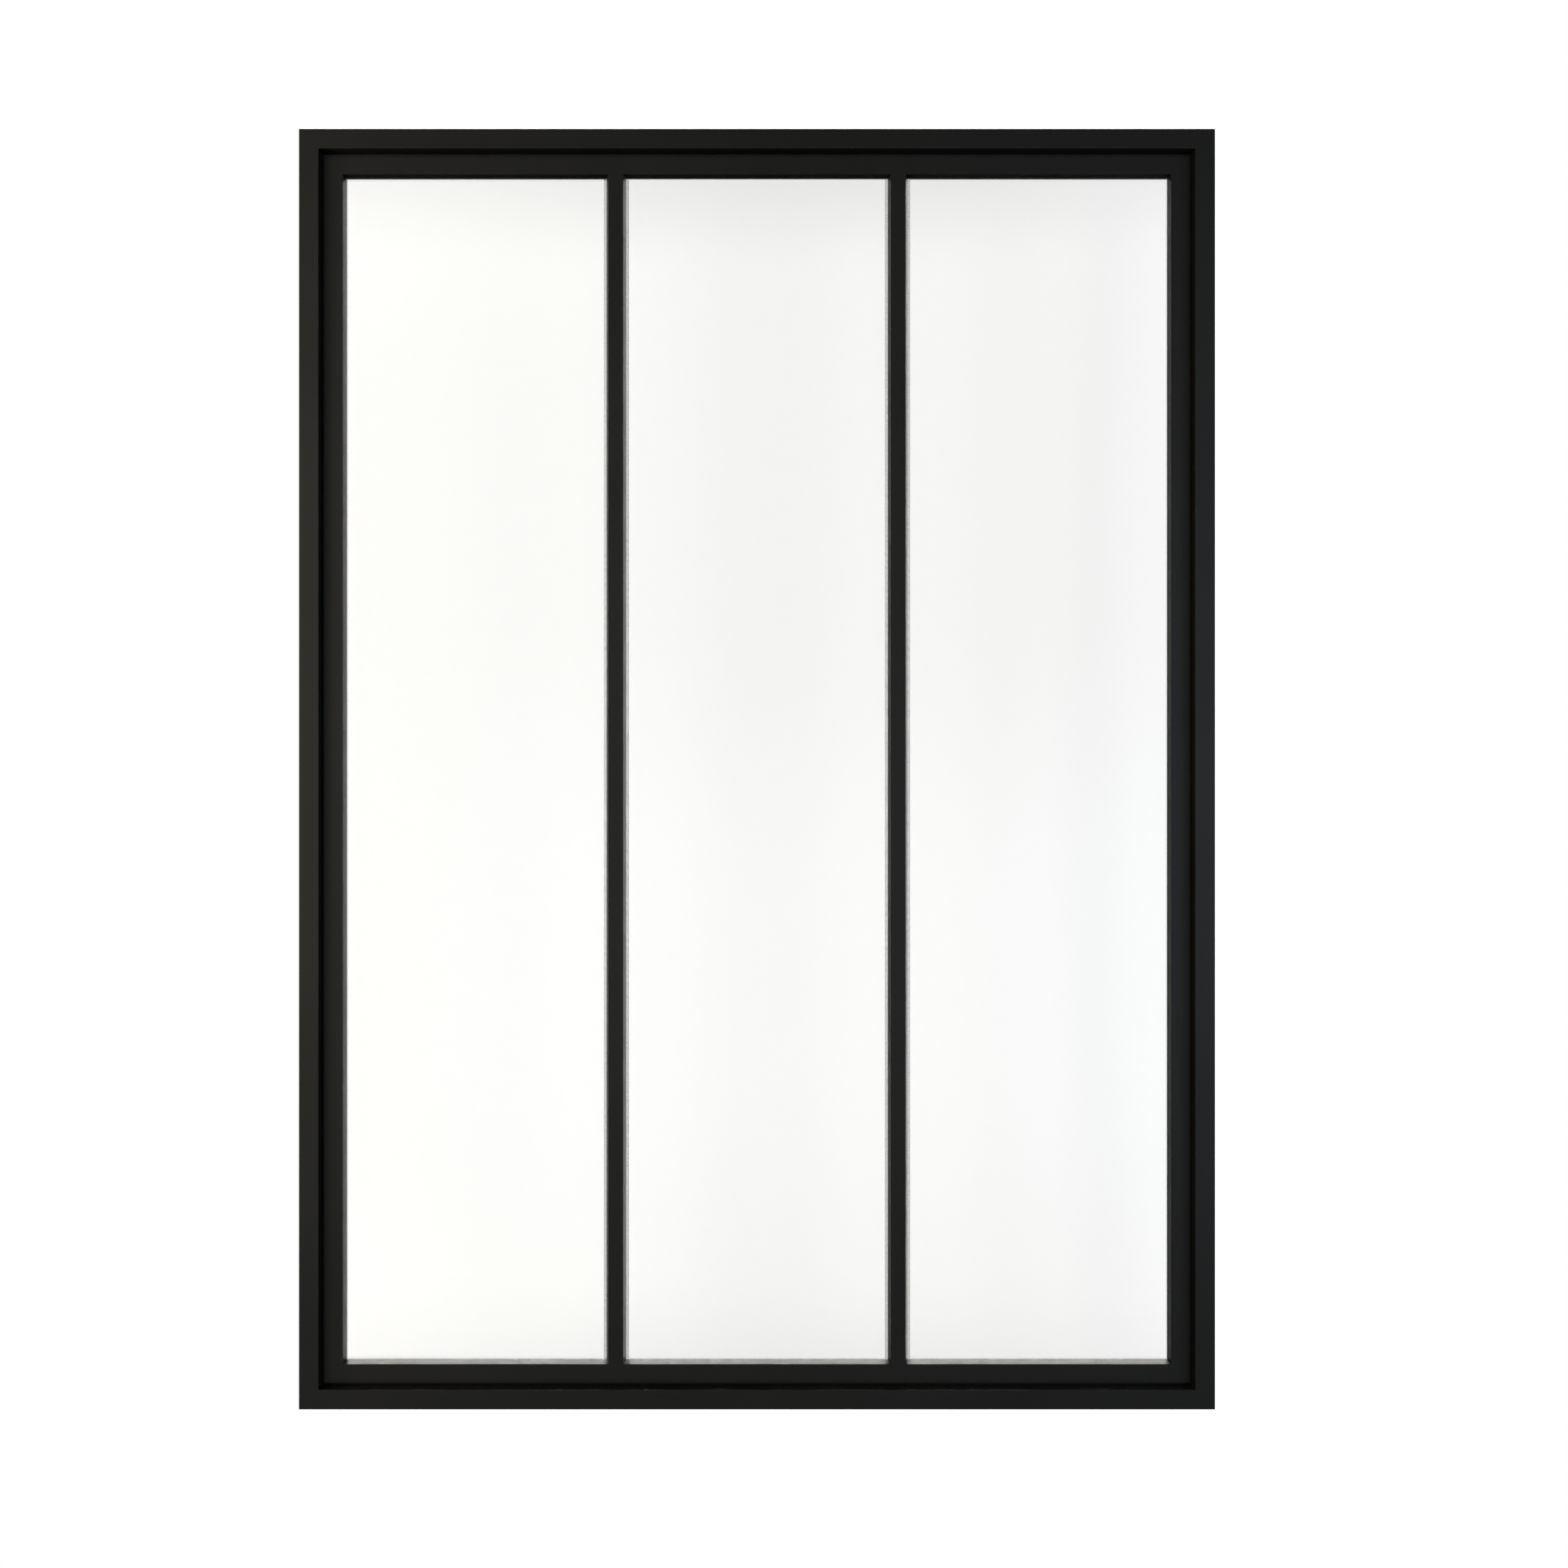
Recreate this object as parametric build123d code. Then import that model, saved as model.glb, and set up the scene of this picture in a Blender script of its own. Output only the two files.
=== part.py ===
from build123d import *
import os

os.makedirs("parts", exist_ok=True)

# Interior glass partition, millimetres.
# +X width, +Z up, -Y is the front. The origin is the middle of the underside of the sill.
W = 930.0            # overall width
H = 1300.0           # overall height
DEPTH = 48.0         # outer frame depth, front to back

# outer frame: rectangular hollow section, mitred at the corners
OUT_FACE = 20.0      # sight width of the outer frame
OUT_WALL = 2.0
EDGE_R = 0.6         # rounding of the extruded edges

# glazing frame: set back inside the outer frame, behind a shadow groove
RECESS = 14.0        # step from the outer frame's face to the glazing frame's face
GROOVE = 1.5         # shadow groove between the two frames
SEAL_SET_BACK = 3.0  # depth of that groove down to its seal
GROOVE_EDGE = 0.4    # broken edge of the glazing frame beside the groove
TUBE = 12.0          # hollow chamber of the glazing frame's section
TUBE_WALL = 1.8
FLANGE = 8.0         # depth of the front flange that laps the glass
BAR_FACE = 20.0      # flat face width of the stiles and rails
BEVEL = 2.0          # lean of the flange's inner edge over its depth

# mullions: T bars, a flange at the front and a web between the panes
MULLION_X = 144.5    # centre of each mullion from the middle
MULLION_FACE = 20.0
MULLION_FRONT = 15.4 # flat front of a mullion, its flanks lean from there to the full width
WEB = 4.0

# glazing
GLASS = 4.0
SEAL_T = 1.5         # seal thickness on each side of the glass
EDGE_GAP = 3.0       # clearance round the edge of a pane
LIP_FRAME = 0.4      # lip of the front seal beside the stiles and rails
LIP_MULLION = 3.0    # and beside the mullions
LIP_REAR = 0.2       # lip of the rear seal
BEAD = 7.0           # height of the rear beads above the rebate's wall
BEAD_WALL = 1.2
BEAD_EDGE = 0.5      # broken edge of the beads
BEAD_SET_BACK = 0.4  # the rear beads sit just below the frame's rear face

# fixing holes for 5 mm screws, in the rear reveal of the outer frame
HOLE_R = 2.75
HOLE_Y = 17.0
JAMB_HOLES = (150.0, 480.0, 820.0, 1150.0)
RAIL_HOLES = (-300.0, 300.0)

# derived planes
Y0 = -DEPTH / 2
Y1 = DEPTH / 2
F0 = Y0 + RECESS                 # front of the glazing frame
F1 = Y1 - RECESS                 # rear of the glazing frame
G0 = F0 + FLANGE + SEAL_T        # front of the glass
G1 = G0 + GLASS                  # rear of the glass
IN0 = OUT_FACE + GROOVE          # outer edge of the glazing frame, from the outer edge
REB = IN0 + TUBE                 # wall of the glazing rebate
FACE_IN = IN0 + BAR_FACE         # inner edge of the stiles' and rails' flat faces
JX = W / 2 - FACE_IN - BEVEL     # half width of the glazed field
ZB = FACE_IN + BEVEL             # lower edge of the glazed field
ZT = H - ZB
MH = MULLION_FACE / 2


def block(x0, x1, y0, y1, z0, z1):
    return Pos((x0 + x1) / 2, (y0 + y1) / 2, (z0 + z1) / 2) * Box(x1 - x0, y1 - y0, z1 - z0)


def slab(w, y0, y1):
    """The whole front, inset by w on every side."""
    return block(-W / 2 + w, W / 2 - w, y0, y1, w, H - w)


def rect_wire(r, y):
    x0, x1, z0, z1 = r
    return Wire.make_polygon([(x0, y, z0), (x1, y, z0), (x1, y, z1), (x0, y, z1)], close=True)


def taper(r0, y0, r1, y1):
    """Pyramid stump between two rectangles in the XZ plane."""
    return Solid.make_loft([rect_wire(r0, y0), rect_wire(r1, y1)], True)


def prism(points, y0, y1):
    wire = Wire.make_polygon([(x, y0, z) for x, z in points], close=True)
    return Solid.extrude(Face(wire), Vector(0, y1 - y0, 0))


def grown(r, left, right, low, high):
    return (r[0] - left, r[1] + right, r[2] - low, r[3] + high)


def mitre_sections(outer, inner, y0, y1):
    """Four prisms whose ends run from each outer corner to the inner corner."""
    ox0, ox1, oz0, oz1 = outer
    ix0, ix1, iz0, iz1 = inner
    return {
        "top": prism([(ox0, oz1), (ix0, iz1), (ix1, iz1), (ox1, oz1)], y0, y1),
        "bottom": prism([(ox0, oz0), (ox1, oz0), (ix1, iz0), (ix0, iz0)], y0, y1),
        "left": prism([(ox0, oz0), (ix0, iz0), (ix0, iz1), (ox0, oz1)], y0, y1),
        "right": prism([(ox1, oz0), (ox1, oz1), (ix1, iz1), (ix1, iz0)], y0, y1),
    }


def at_y(shape, *levels):
    """Edges that lie flat in one of the given Y planes."""
    edges = ShapeList()
    for y in levels:
        edges += shape.edges().filter_by_position(Axis.Y, y - 1e-4, y + 1e-4)
    return edges


def one(shape):
    solids = shape.solids()
    assert len(solids) == 1, len(solids)
    return solids[0]


parts = {}

# the three glazed openings in the glazing frame: (x0, x1, z0, z1), and what bounds their sides
openings = {
    "left": (-JX, -MULLION_X - MH, ZB, ZT),
    "middle": (-MULLION_X + MH, MULLION_X - MH, ZB, ZT),
    "right": (MULLION_X + MH, JX, ZB, ZT),
}
lips = {
    "left": (LIP_FRAME, LIP_MULLION),
    "middle": (LIP_MULLION, LIP_MULLION),
    "right": (LIP_MULLION, LIP_FRAME),
}
to_rebate = {
    "left": (ZB - REB, MH - WEB / 2),
    "middle": (MH - WEB / 2, MH - WEB / 2),
    "right": (MH - WEB / 2, ZB - REB),
}

# ---- outer frame ----
outer = slab(0, Y0, Y1) - slab(OUT_FACE, Y0 - 1, Y1 + 1)
outer = fillet(at_y(outer, Y0, Y1), EDGE_R)
outer -= slab(OUT_WALL, Y0 + OUT_WALL, Y1 - OUT_WALL) - slab(OUT_FACE - OUT_WALL, Y0, Y1)
for z in JAMB_HOLES:
    for side in (-1, 1):
        outer -= Pos(side * (W / 2 - OUT_FACE / 2), HOLE_Y, z) * Rot(0, 90, 0) * Cylinder(HOLE_R, OUT_FACE + 2)
for x in RAIL_HOLES:
    for z in (OUT_FACE / 2, H - OUT_FACE / 2):
        outer -= Pos(x, HOLE_Y, z) * Cylinder(HOLE_R, OUT_FACE + 2)
cuts = mitre_sections((-W / 2, W / 2, 0, H), (-W / 2 + OUT_FACE, W / 2 - OUT_FACE, OUT_FACE, H - OUT_FACE), Y0 - 1, Y1 + 1)
parts["outer_head"] = one(outer & cuts["top"])
parts["outer_sill"] = one(outer & cuts["bottom"])
parts["outer_left_jamb"] = one(outer & cuts["left"])
parts["outer_right_jamb"] = one(outer & cuts["right"])

# ---- seal at the bottom of the shadow groove ----
parts["perimeter_seal"] = one(
    slab(OUT_FACE, F0 + SEAL_SET_BACK, F1 - SEAL_SET_BACK) - slab(IN0, Y0, Y1)
)

# ---- glazing frame: hollow chamber outside, flange inside, lapping the glass ----
glazed = (-JX, JX, ZB, ZT)
lean = BEVEL / FLANGE
wide, narrow = BEVEL + lean, -lean
field = taper(grown(glazed, wide, wide, wide, wide), F0 - 1, grown(glazed, narrow, narrow, narrow, narrow), F0 + FLANGE + 1)
chamber = slab(IN0, F0, F1) - slab(REB, Y0, Y1)
flange = slab(REB - 1, F0, F0 + FLANGE) - field
frame = chamber + flange
outer_rim = ShapeList(
    e for e in at_y(frame, F0, F1)
    if abs(abs(e.center().X) - (W / 2 - IN0)) < 1e-3
    or abs(e.center().Z - IN0) < 1e-3
    or abs(e.center().Z - (H - IN0)) < 1e-3
)
frame = chamfer(outer_rim, GROOVE_EDGE)
frame -= slab(IN0 + TUBE_WALL, F0 + TUBE_WALL, F1 - TUBE_WALL) - slab(REB - TUBE_WALL, Y0, Y1)
cuts = mitre_sections(
    (-W / 2 + IN0, W / 2 - IN0, IN0, H - IN0), glazed, Y0, Y1
)
parts["glazing_top_rail"] = one(frame & cuts["top"])
parts["glazing_bottom_rail"] = one(frame & cuts["bottom"])
parts["glazing_left_stile"] = one(frame & cuts["left"])
parts["glazing_right_stile"] = one(frame & cuts["right"])

# ---- mullions: the flange butts the rails, the web runs on behind their flanges ----
for name, x in (("left_mullion", -MULLION_X), ("right_mullion", MULLION_X)):
    section = Wire.make_polygon([
        (x - MULLION_FRONT / 2, F0, IN0), (x + MULLION_FRONT / 2, F0, IN0),
        (x + MH, F0 + FLANGE, IN0), (x - MH, F0 + FLANGE, IN0),
    ], close=True)
    bar = Solid.extrude(Face(section), Vector(0, 0, H - 2 * IN0)) & field
    bar += block(x - WEB / 2, x + WEB / 2, F0 + FLANGE - 0.5, F1, ZB, ZT)
    bar += block(x - WEB / 2, x + WEB / 2, F0 + FLANGE, F1, REB, H - REB)
    parts[name] = one(bar)

# ---- glass, seals and rear beads, pane by pane ----
for pane, r in openings.items():
    reb_l, reb_r = to_rebate[pane]
    reb_v = ZB - REB
    rebate = grown(r, reb_l, reb_r, reb_v, reb_v)
    glass = grown(rebate, -EDGE_GAP, -EDGE_GAP, -EDGE_GAP, -EDGE_GAP)
    seat = grown(glass, -1, -1, -1, -1)
    lip_l, lip_r = lips[pane]
    sight = grown(r, -lip_l, -lip_r, -LIP_FRAME, -LIP_FRAME)
    rear = grown(rebate, -BEAD, -BEAD, -BEAD, -BEAD)
    rear_sight = grown(rear, -LIP_REAR, -LIP_REAR, -LIP_REAR, -LIP_REAR)

    parts[f"{pane}_glass_pane"] = one(block(glass[0], glass[1], G0, G1, glass[2], glass[3]))

    seal = block(seat[0], seat[1], F0 + FLANGE, G0, seat[2], seat[3])
    seal -= taper(r, F0 + FLANGE, sight, G0)
    parts[f"{pane}_front_seal"] = one(seal)

    seal = block(seat[0], seat[1], G1, G1 + SEAL_T, seat[2], seat[3])
    seal -= taper(rear_sight, G1, rear, G1 + SEAL_T)
    parts[f"{pane}_rear_seal"] = one(seal)

    # rear beads: channels open towards the rebate wall, mitred in the corners
    b0, b1 = G1 + SEAL_T, F1 - BEAD_SET_BACK
    ring = block(rebate[0], rebate[1], b0, b1, rebate[2], rebate[3])
    ring -= block(rear[0], rear[1], b0 - 1, b1 + 1, rear[2], rear[3])
    ring -= taper(rear, b1 - BEAD_EDGE, grown(rear, BEAD_EDGE + 1, BEAD_EDGE + 1, BEAD_EDGE + 1, BEAD_EDGE + 1), b1 + 1)
    hollow = grown(rear, BEAD_WALL, BEAD_WALL, BEAD_WALL, BEAD_WALL)
    ring -= (
        block(rebate[0] - 1, rebate[1] + 1, b0 + BEAD_WALL, b1 - BEAD_WALL, rebate[2] - 1, rebate[3] + 1)
        - block(hollow[0], hollow[1], b0, b1, hollow[2], hollow[3])
    )
    for side, cut in mitre_sections(rebate, rear, b0 - 1, b1 + 1).items():
        parts[f"{pane}_pane_{side}_bead"] = one(ring & cut)

total = 0.0
for name, solid in parts.items():
    solid.label = name
    assert solid.is_valid, name
    export_step(solid, f"parts/{name}.step")
    total += solid.volume
print(len(parts), "nodes,", round(total / 1e6, 3), "litres")
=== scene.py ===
import math

import bpy
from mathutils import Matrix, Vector

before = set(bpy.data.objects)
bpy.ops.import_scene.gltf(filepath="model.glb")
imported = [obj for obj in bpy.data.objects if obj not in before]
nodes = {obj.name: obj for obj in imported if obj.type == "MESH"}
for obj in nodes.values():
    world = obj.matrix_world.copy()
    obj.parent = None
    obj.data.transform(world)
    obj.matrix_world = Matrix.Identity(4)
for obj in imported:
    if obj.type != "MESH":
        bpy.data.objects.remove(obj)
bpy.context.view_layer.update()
scene = bpy.context.scene

# ------------------------------------------------------------------ camera
# The picture is 1932 x 1932 and takes in 1591.4 mm at the frame's front face.
IMAGE = 1932.0
SPAN = 1.5914
DISTANCE = 1.78
FRONT = -0.024
MIDDLE = 0.65

cam = bpy.data.cameras.new("camera")
cam.sensor_width = 36.0
cam.sensor_fit = "HORIZONTAL"
cam.lens = 36.0 * DISTANCE / SPAN
cam.shift_x = 33.3 / IMAGE
cam.shift_y = -18.3 / IMAGE
camera = bpy.data.objects.new("camera", cam)
camera.location = (0.0, FRONT - DISTANCE, MIDDLE)
camera.rotation_euler = (math.pi / 2, 0.0, 0.0)
scene.collection.objects.link(camera)
scene.camera = camera

scene.view_settings.view_transform = "Standard"
scene.view_settings.look = "None"


# ------------------------------------------------------------------ node helpers
def new_material(name):
    m = bpy.data.materials.new(name)
    m.use_nodes = True
    m.node_tree.nodes.clear()
    out = m.node_tree.nodes.new("ShaderNodeOutputMaterial")
    bsdf = m.node_tree.nodes.new("ShaderNodeBsdfPrincipled")
    m.node_tree.links.new(bsdf.outputs[0], out.inputs["Surface"])
    return m, m.node_tree, bsdf


def node(tree, kind, **inputs):
    n = tree.nodes.new(kind)
    for key, value in inputs.items():
        n.inputs[key.replace("_", " ")].default_value = value
    return n


def ramp(tree, stops, fac):
    r = tree.nodes.new("ShaderNodeValToRGB")
    e = r.color_ramp.elements
    while len(e) > 1:
        e.remove(e[-1])
    e[0].position, e[0].color = stops[0][0], stops[0][1]
    for pos, colour in stops[1:]:
        e.new(pos).color = colour
    tree.links.new(fac, r.inputs["Fac"])
    return r


def math_node(tree, op, a, b=None):
    n = tree.nodes.new("ShaderNodeMath")
    n.operation = op
    for i, v in enumerate((a, b)):
        if v is None:
            continue
        if isinstance(v, (int, float)):
            n.inputs[i].default_value = v
        else:
            tree.links.new(v, n.inputs[i])
    return n.outputs[0]


def smooth(tree, value, low, high, out_low=0.0, out_high=1.0):
    n = tree.nodes.new("ShaderNodeMapRange")
    n.interpolation_type = "SMOOTHSTEP"
    n.inputs["From Min"].default_value = low
    n.inputs["From Max"].default_value = high
    n.inputs["To Min"].default_value = out_low
    n.inputs["To Max"].default_value = out_high
    tree.links.new(value, n.inputs["Value"])
    return n.outputs["Result"]


# ------------------------------------------------------------------ materials
def powder_coat():
    """Near-black satin powder coat: a very fine grain, a slow unevenness of tone and gloss."""
    m, t, b = new_material("powder_coat")
    coord = t.nodes.new("ShaderNodeTexCoord")
    slow = node(t, "ShaderNodeTexNoise", Scale=9.0, Detail=2.0)
    fine = node(t, "ShaderNodeTexNoise", Scale=1500.0, Detail=3.0)
    peel = node(t, "ShaderNodeTexNoise", Scale=420.0, Detail=1.0)
    for n in (slow, fine, peel):
        t.links.new(coord.outputs["Object"], n.inputs["Vector"])
    tone = ramp(t, [(0.3, (0.0022, 0.0022, 0.0021, 1)), (0.7, (0.0032, 0.0032, 0.0030, 1))], slow.outputs["Fac"])
    t.links.new(tone.outputs["Color"], b.inputs["Base Color"])
    rough = t.nodes.new("ShaderNodeMapRange")
    rough.inputs["To Min"].default_value = 0.36
    rough.inputs["To Max"].default_value = 0.44
    t.links.new(fine.outputs["Fac"], rough.inputs["Value"])
    t.links.new(rough.outputs["Result"], b.inputs["Roughness"])
    b.inputs["Specular IOR Level"].default_value = 0.10
    height = math_node(t, "MULTIPLY_ADD", peel.outputs["Fac"], 0.6)
    t.links.new(fine.outputs["Fac"], height.node.inputs[2])
    bump = node(t, "ShaderNodeBump", Strength=0.07, Distance=0.00006)
    t.links.new(height, bump.inputs["Height"])
    t.links.new(bump.outputs["Normal"], b.inputs["Normal"])
    return m


def clear_glass():
    m, t, b = new_material("clear_glass")
    b.inputs["Base Color"].default_value = (0.854, 0.852, 0.842, 1)
    b.inputs["Roughness"].default_value = 0.0
    b.inputs["IOR"].default_value = 1.5
    b.inputs["Transmission Weight"].default_value = 1.0
    return m


def clear_seal():
    """Smoke-clear glazing seal: a thin lip that lets the light behind it through."""
    m, t, b = new_material("glazing_seal")
    coord = t.nodes.new("ShaderNodeTexCoord")
    grain = node(t, "ShaderNodeTexNoise", Scale=60.0, Detail=2.0)
    t.links.new(coord.outputs["Object"], grain.inputs["Vector"])
    tone = ramp(t, [(0.3, (0.010, 0.010, 0.009, 1)), (0.7, (0.014, 0.014, 0.013, 1))], grain.outputs["Fac"])
    t.links.new(tone.outputs["Color"], b.inputs["Base Color"])
    b.inputs["Roughness"].default_value = 0.25
    b.inputs["IOR"].default_value = 1.45
    b.inputs["Alpha"].default_value = 0.19
    bump = node(t, "ShaderNodeBump", Strength=0.1, Distance=0.0001)
    t.links.new(grain.outputs["Fac"], bump.inputs["Height"])
    t.links.new(bump.outputs["Normal"], b.inputs["Normal"])
    return m


def black_rubber():
    m, t, b = new_material("black_seal")
    coord = t.nodes.new("ShaderNodeTexCoord")
    grain = node(t, "ShaderNodeTexNoise", Scale=240.0, Detail=2.0)
    t.links.new(coord.outputs["Object"], grain.inputs["Vector"])
    tone = ramp(t, [(0.3, (0.004, 0.004, 0.004, 1)), (0.7, (0.007, 0.007, 0.007, 1))], grain.outputs["Fac"])
    t.links.new(tone.outputs["Color"], b.inputs["Base Color"])
    b.inputs["Roughness"].default_value = 0.8
    b.inputs["Specular IOR Level"].default_value = 0.2
    bump = node(t, "ShaderNodeBump", Strength=0.1, Distance=0.0001)
    t.links.new(grain.outputs["Fac"], bump.inputs["Height"])
    t.links.new(bump.outputs["Normal"], b.inputs["Normal"])
    return m


coat = powder_coat()
glass = clear_glass()
glazing_seal = clear_seal()
black_seal = black_rubber()

for name, o in nodes.items():
    if name.endswith("glass_pane"):
        m = glass
    elif name == "perimeter_seal":
        m = black_seal
    elif name.endswith("_seal"):
        m = glazing_seal
    else:
        m = coat
    o.data.materials.clear()
    o.data.materials.append(m)


# ------------------------------------------------------------------ stage
# A plain white floor and backdrop. They show to the eye and through the glass; in reflections the studio's light shows.
def stage_white():
    m = bpy.data.materials.new("stage_white")
    m.use_nodes = True
    t = m.node_tree
    t.nodes.clear()
    out = t.nodes.new("ShaderNodeOutputMaterial")
    white = t.nodes.new("ShaderNodeEmission")
    white.inputs["Color"].default_value = (1, 1, 1, 1)
    white.inputs["Strength"].default_value = 1.0
    clear = t.nodes.new("ShaderNodeBsdfTransparent")
    path = t.nodes.new("ShaderNodeLightPath")
    bounced = math_node(t, "SUBTRACT", path.outputs["Ray Depth"], path.outputs["Transmission Depth"])
    fac = math_node(t, "GREATER_THAN", bounced, 0.5)
    mix = t.nodes.new("ShaderNodeMixShader")
    t.links.new(fac, mix.inputs[0])
    t.links.new(white.outputs[0], mix.inputs[1])
    t.links.new(clear.outputs[0], mix.inputs[2])
    t.links.new(mix.outputs[0], out.inputs["Surface"])
    m.cycles.emission_sampling = "NONE"
    return m


def stage_mesh(name, verts, faces, material):
    mesh = bpy.data.meshes.new(name)
    mesh.from_pydata(verts, [], faces)
    mesh.materials.append(material)
    o = bpy.data.objects.new(name, mesh)
    scene.collection.objects.link(o)
    o.visible_diffuse = False
    o.visible_glossy = False
    o.visible_shadow = False
    return o


white = stage_white()
S = 9.0
stage_mesh("floor", [(-S, -S, 0), (S, -S, 0), (S, S, 0), (-S, S, 0)], [(0, 1, 2, 3)], white)
sides, ring = 64, []
for i in range(sides):
    a = 2 * math.pi * i / sides
    ring.append((S * math.cos(a), S * math.sin(a)))
verts = [(x, y, -0.5) for x, y in ring] + [(x, y, 9.0) for x, y in ring]
faces = [(i, (i + 1) % sides, sides + (i + 1) % sides, sides + i) for i in range(sides)]
faces.append(tuple(range(2 * sides - 1, sides - 1, -1)))
stage_mesh("backdrop", verts, faces, white)

# ------------------------------------------------------------------ light
# A studio of large soft lights, as a smooth pattern of the world's directions. Azimuth 0 is in front of the object,
# on the camera's side, and grows to the right; 180 is behind the object.
world = bpy.data.worlds.new("world")
scene.world = world
world.use_nodes = True
wt = world.node_tree
wt.nodes.clear()
wout = wt.nodes.new("ShaderNodeOutputWorld")
bg = wt.nodes.new("ShaderNodeBackground")
wt.links.new(bg.outputs[0], wout.inputs["Surface"])
wcoord = wt.nodes.new("ShaderNodeTexCoord")
sep = wt.nodes.new("ShaderNodeSeparateXYZ")
wt.links.new(wcoord.outputs["Generated"], sep.inputs[0])
dx, dy, dz = sep.outputs[0], sep.outputs[1], sep.outputs[2]
total = []


def toward(azimuth, elevation):
    a, e = math.radians(azimuth), math.radians(elevation)
    return Vector((math.sin(a) * math.cos(e), -math.cos(a) * math.cos(e), math.sin(e)))


def add_light(fac, colour, strength):
    v = wt.nodes.new("ShaderNodeVectorMath")
    v.operation = "SCALE"
    v.inputs[0].default_value = [c * strength for c in colour]
    if isinstance(fac, (int, float)):
        v.inputs["Scale"].default_value = fac
    else:
        wt.links.new(fac, v.inputs["Scale"])
    total.append(v.outputs[0])


def within(source, direction, full, edge):
    dot = wt.nodes.new("ShaderNodeVectorMath")
    dot.operation = "DOT_PRODUCT"
    wt.links.new(source, dot.inputs[0])
    dot.inputs[1].default_value = direction
    return smooth(wt, dot.outputs["Value"], math.cos(math.radians(edge)), math.cos(math.radians(full)))


def lobe(azimuth, elevation, full, edge, colour, strength):
    """A round soft light: full strength within `full` degrees of its middle, none past `edge` degrees."""
    add_light(within(wcoord.outputs["Generated"], toward(azimuth, elevation), full, edge), colour, strength)


level = wt.nodes.new("ShaderNodeVectorMath")
level.operation = "MULTIPLY"
wt.links.new(wcoord.outputs["Generated"], level.inputs[0])
level.inputs[1].default_value = (1, 1, 0)
compass = wt.nodes.new("ShaderNodeVectorMath")
compass.operation = "NORMALIZE"
wt.links.new(level.outputs[0], compass.inputs[0])


def panel(azimuth, full, edge, colour, strength):
    """An upright soft light, as bright at its foot as at its head."""
    rise = math_node(wt, "MULTIPLY", smooth(wt, dz, -0.52, -0.30), smooth(wt, dz, 0.70, 0.45))
    fac = within(compass.outputs[0], toward(azimuth, 0), full, edge)
    add_light(math_node(wt, "MULTIPLY", fac, rise), colour, strength)


WARM, NEUTRAL, COOL = (1.0, 0.97, 0.82), (1.0, 1.0, 0.97), (0.82, 0.93, 1.0)
# a dim room, dark below the horizon at the rear
low_rear = math_node(wt, "MULTIPLY", smooth(wt, dy, -0.30, 0.10), smooth(wt, dz, 0.04, -0.10))
add_light(smooth(wt, low_rear, 0.0, 1.0, 1.0, 0.0), NEUTRAL, 0.02)

# front band: a long low light across the front, brightest at the object's mid height
band = math_node(wt, "MULTIPLY", smooth(wt, dz, -0.36, -0.27), smooth(wt, dz, 0.33, 0.27))
front = smooth(wt, dy, -0.60, -0.85)
band = math_node(wt, "MULTIPLY", band, front)
add_light(band, NEUTRAL, 1.55)


def stripe(middle, full, edge, colour, strength, across=band):
    """An upright part of the band that is lighter or darker than the rest, such as the gap between two softboxes."""
    fac = math_node(
        wt, "MULTIPLY",
        smooth(wt, dx, middle - edge, middle - full), smooth(wt, dx, middle + edge, middle + full),
    )
    add_light(math_node(wt, "MULTIPLY", fac, across), colour, strength)


stripe(-0.075, 0.02, 0.07, WARM, 0.35)
stripe(0.080, 0.02, 0.06, NEUTRAL, 0.35)
stripe(0.188, 0.00, 0.03, NEUTRAL, -0.45)
lower = math_node(wt, "MULTIPLY", smooth(wt, dz, -0.33, -0.16), smooth(wt, dz, 0.10, -0.08))
lower = math_node(wt, "MULTIPLY", lower, front)
stripe(0.06, 0.10, 0.35, COOL, 0.70, lower)
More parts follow.
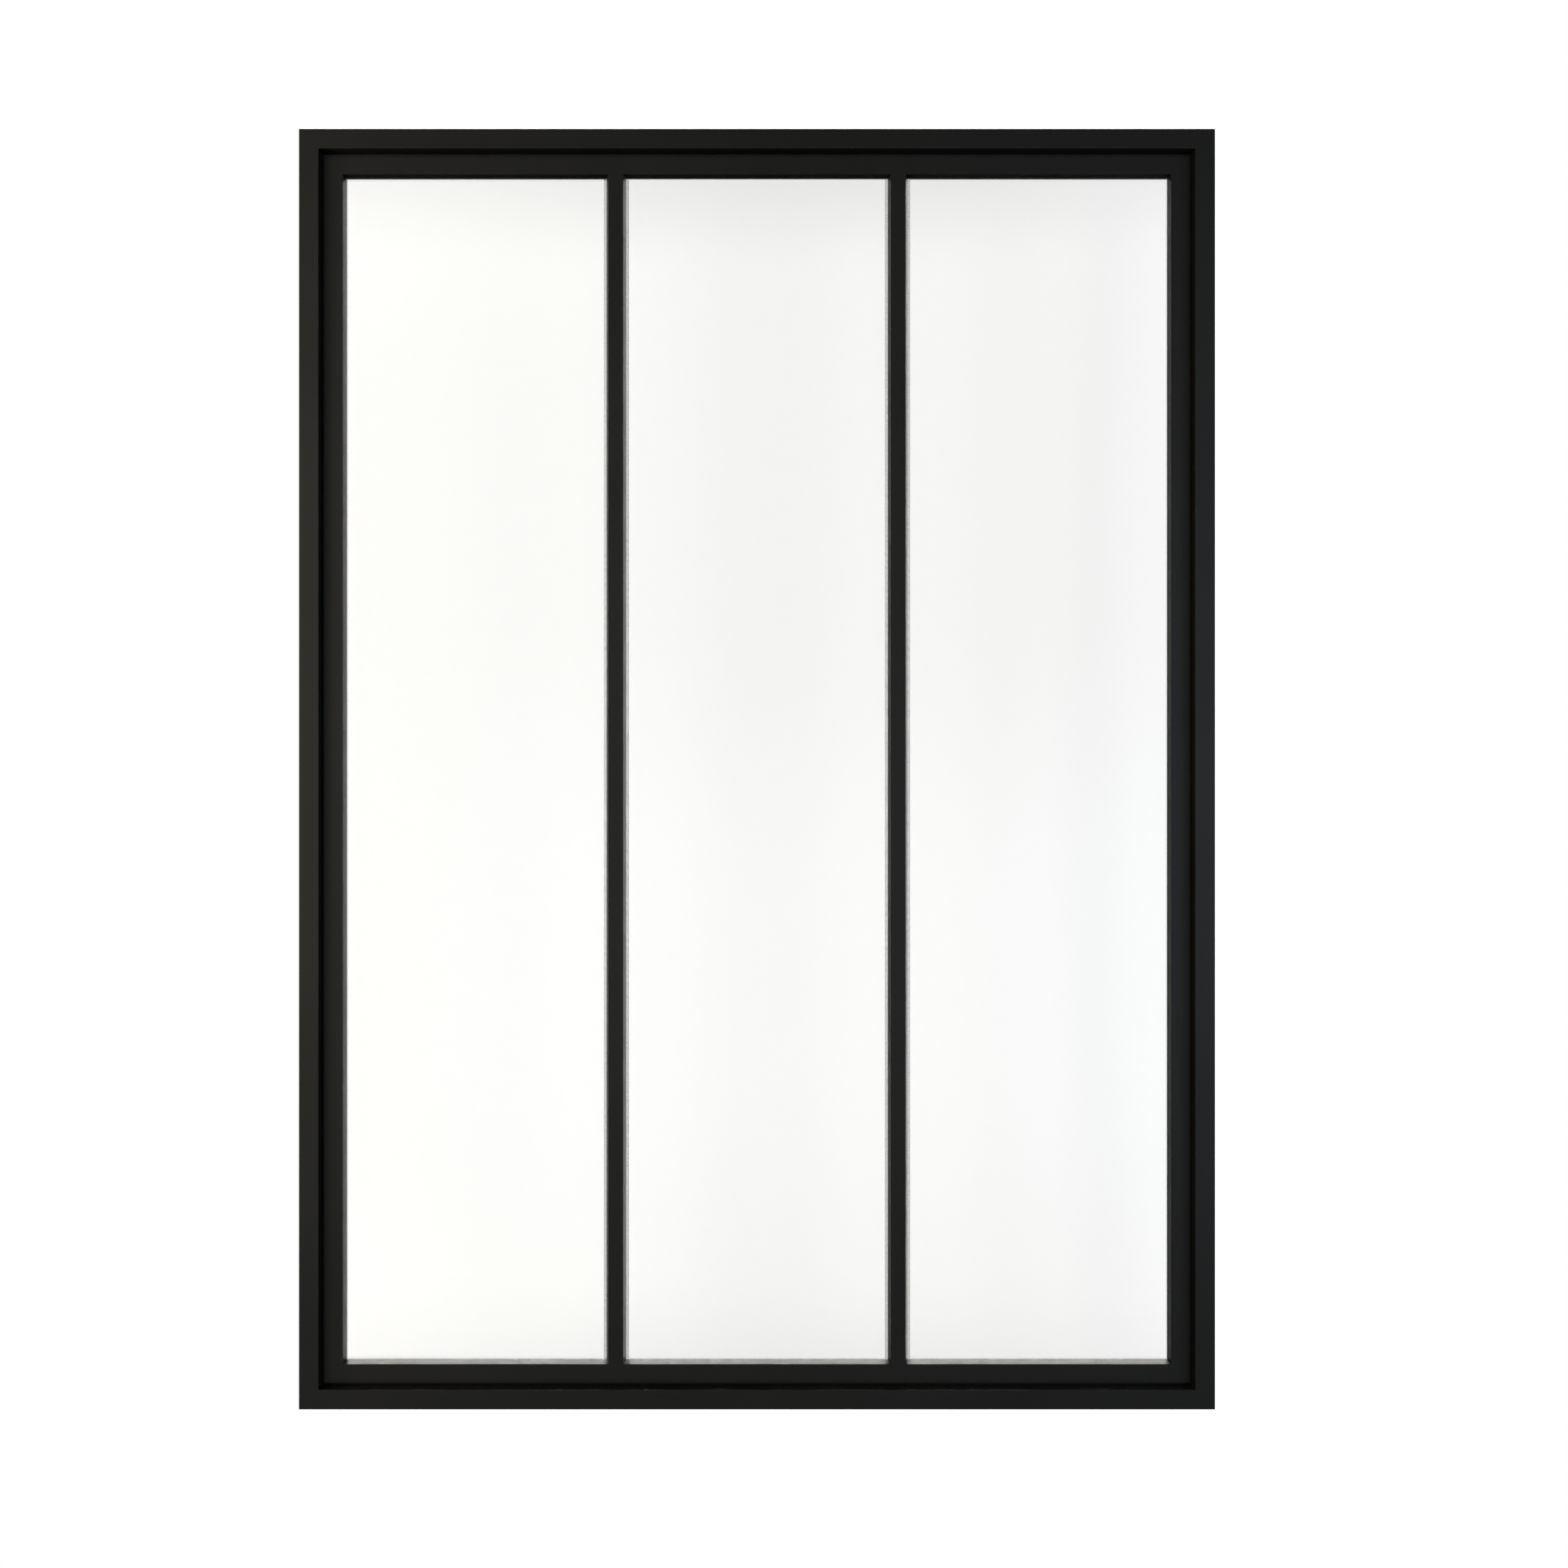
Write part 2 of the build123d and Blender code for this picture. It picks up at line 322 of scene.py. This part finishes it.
# its warmer left end and cooler right end reach higher
left_end = math_node(wt, "MULTIPLY", smooth(wt, dx, 0.02, -0.24), smooth(wt, dx, -0.75, -0.45))
right_end = math_node(wt, "MULTIPLY", smooth(wt, dx, 0.10, 0.27), smooth(wt, dx, 0.75, 0.45))
tall = math_node(wt, "MULTIPLY", smooth(wt, dz, -0.55, -0.30), smooth(wt, dz, 0.55, 0.30))
tall = math_node(wt, "MULTIPLY", tall, front)
add_light(math_node(wt, "MULTIPLY", left_end, tall), WARM, 1.30)
add_light(math_node(wt, "MULTIPLY", right_end, tall), (0.68, 0.76, 1.10), 0.65)
# and are a little brighter at their head and foot
tips = math_node(wt, "MULTIPLY", smooth(wt, math_node(wt, "ABSOLUTE", dz), 0.20, 0.30), tall)
add_light(math_node(wt, "MULTIPLY", left_end, tips), WARM, 0.35)
add_light(math_node(wt, "MULTIPLY", right_end, tips), COOL, 0.15)

# sides and rear
panel(-151, 11, 26, NEUTRAL, 1.5)
panel(147, 12, 28, NEUTRAL, 4.4)
lobe(-177, 50, 13, 31, (1.0, 0.98, 0.94), 28.0)

colour = total[0]
for extra in total[1:]:
    v = wt.nodes.new("ShaderNodeVectorMath")
    v.operation = "ADD"
    wt.links.new(colour, v.inputs[0])
    wt.links.new(extra, v.inputs[1])
    colour = v.outputs[0]
wt.links.new(colour, bg.inputs["Color"])


# the softboxes light the frame and its seals; the panes don't mirror them, from any side
lit = bpy.data.collections.new("lit_by_softboxes")
for name, o in nodes.items():
    if not name.endswith("glass_pane"):
        lit.objects.link(o)


def softbox(name, place, aim, width, height, watts, colour):
    light = bpy.data.lights.new(name, "AREA")
    light.shape = "RECTANGLE"
    light.size, light.size_y = width, height
    light.energy = watts
    light.color = colour
    o = bpy.data.objects.new(name, light)
    o.location = place
    o.rotation_euler = (Vector(aim) - Vector(place)).to_track_quat("-Z", "Y").to_euler()
    o.visible_camera = False
    o.visible_transmission = False
    o.light_linking.receiver_collection = lit
    scene.collection.objects.link(o)
    return o


# two upright softboxes close to the object, one at each side of the camera
softbox("left_strip", (-1.18, -0.86, 0.86), (-0.40, 0, 0.80), 0.40, 1.2, 13, (1.0, 0.91, 0.72))
softbox("right_strip", (1.18, -0.86, 0.60), (0.40, 0, 0.62), 0.40, 0.9, 10, (0.72, 0.83, 1.0))
softbox("far_left_strip", (-1.55, -0.50, 0.82), (-0.45, 0, 0.78), 0.40, 1.2, 30, (1.0, 0.91, 0.72))
softbox("far_right_strip", (1.55, -0.50, 0.58), (0.45, 0, 0.60), 0.40, 0.9, 9, (0.70, 0.83, 1.0))
